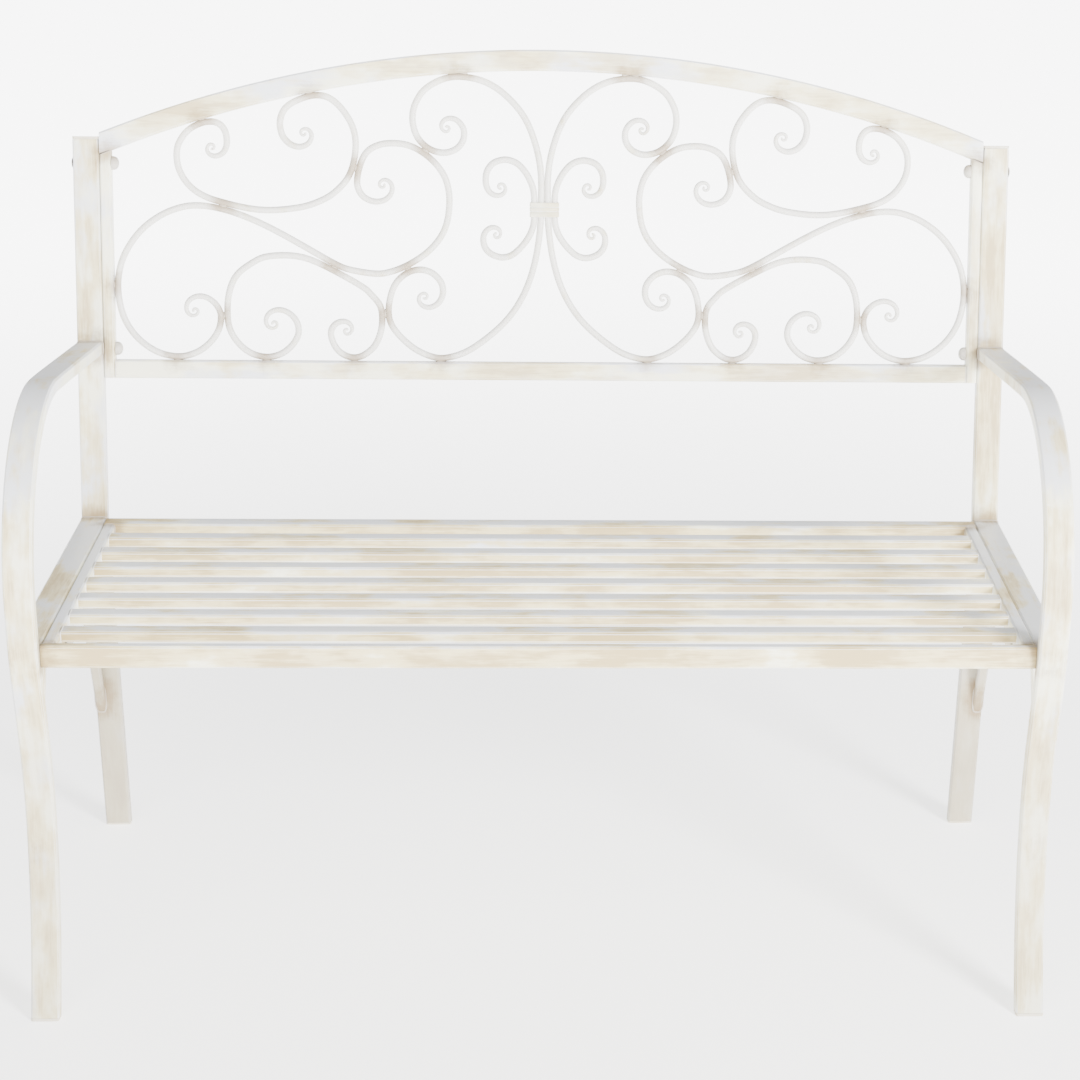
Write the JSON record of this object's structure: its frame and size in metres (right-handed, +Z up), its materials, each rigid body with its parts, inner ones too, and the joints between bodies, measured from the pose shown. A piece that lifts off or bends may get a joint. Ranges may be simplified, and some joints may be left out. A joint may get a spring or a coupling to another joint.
{
  "type": "garden bench",
  "caption": "Steel garden bench with an arched scrollwork back, a slatted seat and side frames of bent tube that form legs and arms.",
  "frame": {"origin": "on the floor, in the middle of the bench's outline seen from above", "axes": "+X along the bench's width, front towards -Y, +Z up"},
  "size_m": [1.0846, 0.5488, 0.9544],
  "materials": {
    "cream_paint": "satin antique cream paint with rubbed tan streaks",
    "bolt_paint": "satin cream paint over steel fasteners",
    "plug_plastic": "matte cream plastic"
  },
  "bodies": {
    "root": {"arch_brace_left": "cream_paint", "arch_brace_right": "cream_paint", "arch_rail": "cream_paint", "back_post_left": "cream_paint", "back_post_right": "cream_paint", "bolt_back_lower_left": "bolt_paint", "bolt_back_lower_right": "bolt_paint", "bolt_back_upper_left": "bolt_paint", "bolt_back_upper_right": "bolt_paint", "bolt_seat_front_left": "bolt_paint", "bolt_seat_front_right": "bolt_paint", "bolt_seat_rear_left": "bolt_paint", "bolt_seat_rear_right": "bolt_paint", "bottom_rail": "cream_paint", "cap_nut_back_lower_left": "bolt_paint", "cap_nut_back_lower_right": "bolt_paint", "cap_nut_back_upper_left": "bolt_paint", "cap_nut_back_upper_right": "bolt_paint", "cap_nut_seat_front_left": "bolt_paint", "cap_nut_seat_front_right": "bolt_paint", "cap_nut_seat_rear_left": "bolt_paint", "cap_nut_seat_rear_right": "bolt_paint", "collar": "cream_paint", "front_foot_plug_left": "plug_plastic", "front_foot_plug_right": "plug_plastic", "front_leg_and_arm_left": "cream_paint", "front_leg_and_arm_right": "cream_paint", "front_rail": "cream_paint", "lower_c_scroll_left": "cream_paint", "lower_c_scroll_right": "cream_paint", "post_cap_left": "plug_plastic", "post_cap_right": "plug_plastic", "rear_foot_plug_left": "plug_plastic", "rear_foot_plug_right": "plug_plastic", "rear_rail": "cream_paint", "s_scroll_left": "cream_paint", "s_scroll_right": "cream_paint", "seat_side_rail_left": "cream_paint", "seat_side_rail_right": "cream_paint", "seat_slat_1": "cream_paint", "seat_slat_2": "cream_paint", "seat_slat_3": "cream_paint", "seat_slat_4": "cream_paint", "seat_slat_5": "cream_paint", "seat_slat_6": "cream_paint", "seat_slat_7": "cream_paint", "side_rail_left": "cream_paint", "side_rail_right": "cream_paint", "small_c_scroll_left": "cream_paint", "small_c_scroll_right": "cream_paint", "tall_c_scroll_left": "cream_paint", "tall_c_scroll_right": "cream_paint", "upper_c_scroll_left": "cream_paint", "upper_c_scroll_right": "cream_paint", "upright_left": "cream_paint", "upright_right": "cream_paint"}
  },
  "joints": []
}
